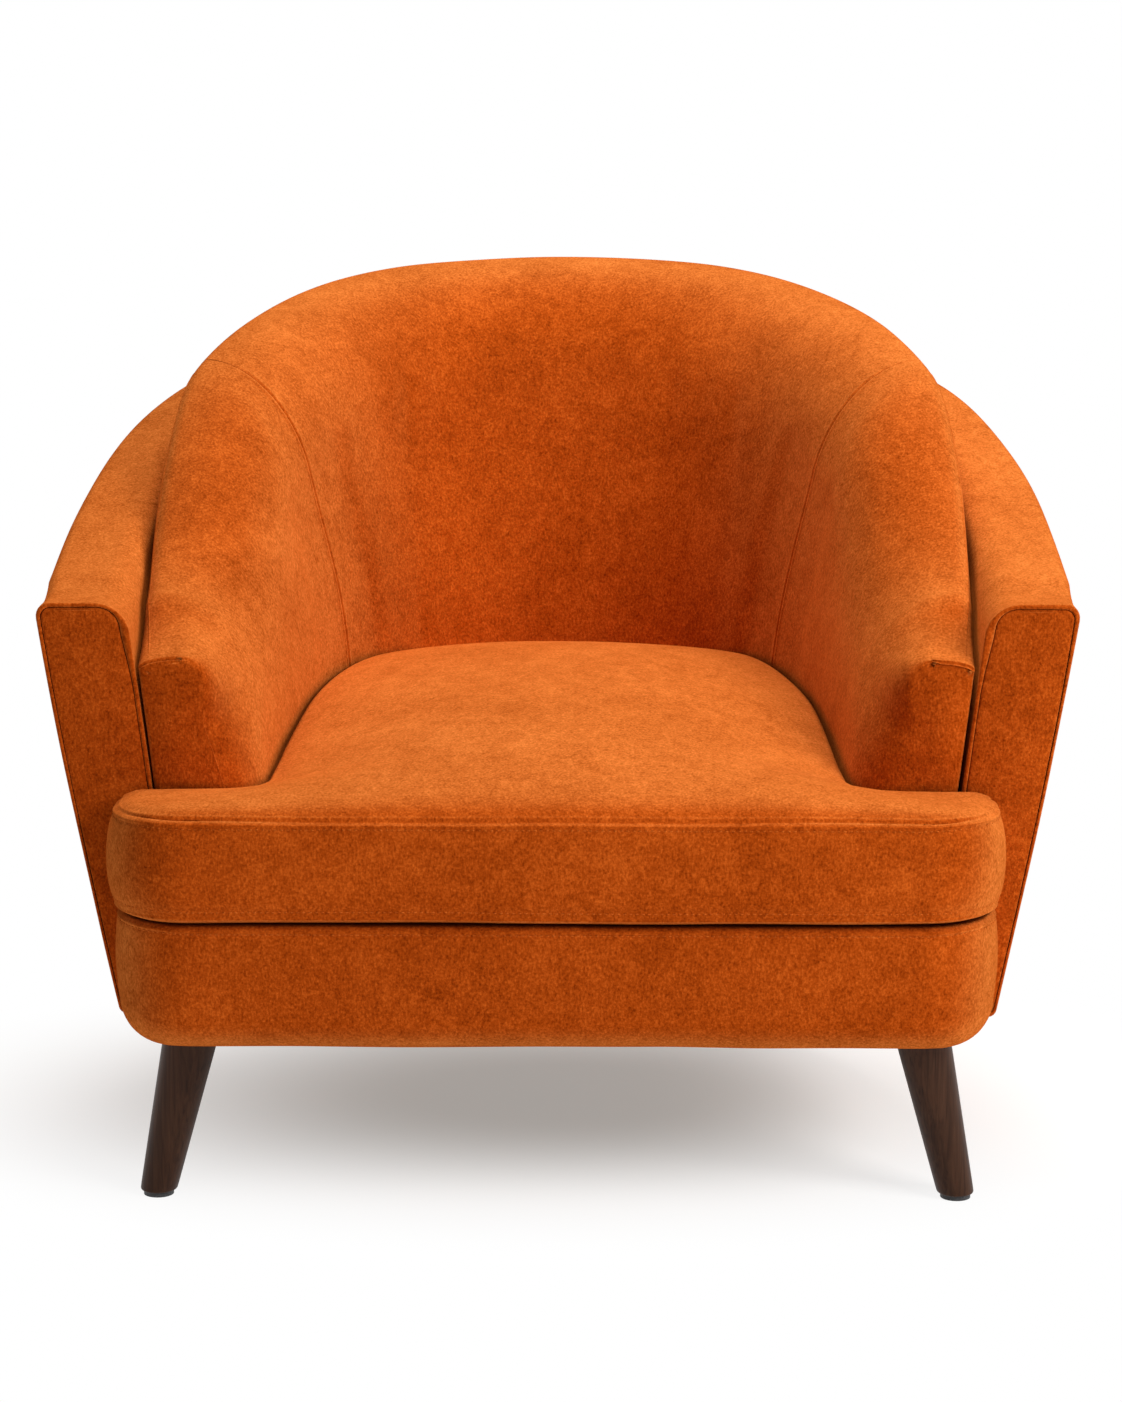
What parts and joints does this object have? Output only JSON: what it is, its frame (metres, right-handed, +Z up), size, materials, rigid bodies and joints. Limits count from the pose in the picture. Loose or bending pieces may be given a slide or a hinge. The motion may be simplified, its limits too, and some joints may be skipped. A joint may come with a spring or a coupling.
{
  "type": "tub armchair",
  "caption": "Velvet tub armchair with a rounded back, flared outer wings, a loose T-shaped seat cushion and splayed tapered legs.",
  "frame": {"origin": "centre of the footprint at floor level", "axes": "+X to the right as seen from the front, -Y towards the front, +Z up"},
  "size_m": [0.9116, 0.8169, 0.79],
  "materials": {
    "velvet": "matte rust-orange velvet",
    "walnut": "satin dark walnut",
    "beech": "sawn",
    "plywood": "sanded",
    "steel": "zinc plated",
    "deck_felt": "needled felt",
    "dust_cloth": "black non-woven cloth",
    "nylon": "moulded"
  },
  "bodies": {
    "chair": {"back_pad": "velvet", "front_band": "velvet", "outside_back": "velvet", "arm_pad_left": "velvet", "arm_pad_right": "velvet", "wing_pad_left": "velvet", "wing_pad_right": "velvet", "wing_facing_left": "velvet", "wing_facing_right": "velvet", "leg_front_left": "walnut", "glide_front_left": "nylon", "leg_plate_front_left": "steel", "leg_bolt_front_left": "steel", "leg_block_front_left": "beech", "leg_front_right": "walnut", "glide_front_right": "nylon", "leg_plate_front_right": "steel", "leg_bolt_front_right": "steel", "leg_block_front_right": "beech", "leg_rear_left": "walnut", "glide_rear_left": "nylon", "leg_plate_rear_left": "steel", "leg_bolt_rear_left": "steel", "leg_block_rear_left": "beech", "leg_rear_right": "walnut", "glide_rear_right": "nylon", "leg_plate_rear_right": "steel", "leg_bolt_rear_right": "steel", "leg_block_rear_right": "beech", "front_rail": "beech", "side_rail_left": "beech", "side_rail_right": "beech", "rear_rail": "beech", "spring_rail": "beech", "arm_panel_left": "plywood", "arm_panel_right": "plywood", "back_panel": "plywood", "spring_1": "steel", "spring_clip_front_1": "steel", "spring_clip_rear_1": "steel", "spring_2": "steel", "spring_clip_front_2": "steel", "spring_clip_rear_2": "steel", "spring_3": "steel", "spring_clip_front_3": "steel", "spring_clip_rear_3": "steel", "spring_4": "steel", "spring_clip_front_4": "steel", "spring_clip_rear_4": "steel", "spring_5": "steel", "spring_clip_front_5": "steel", "spring_clip_rear_5": "steel", "seat_deck": "deck_felt", "dust_cover": "dust_cloth"},
    "cushion": {"seat_cushion": "velvet", "cushion_zip": "nylon"}
  },
  "joints": [
    {"name": "cushion_lift", "type": "slide", "parent": "chair", "child": "cushion", "axis": [0, 0, 1], "range_m": [0, 0.3]}
  ]
}
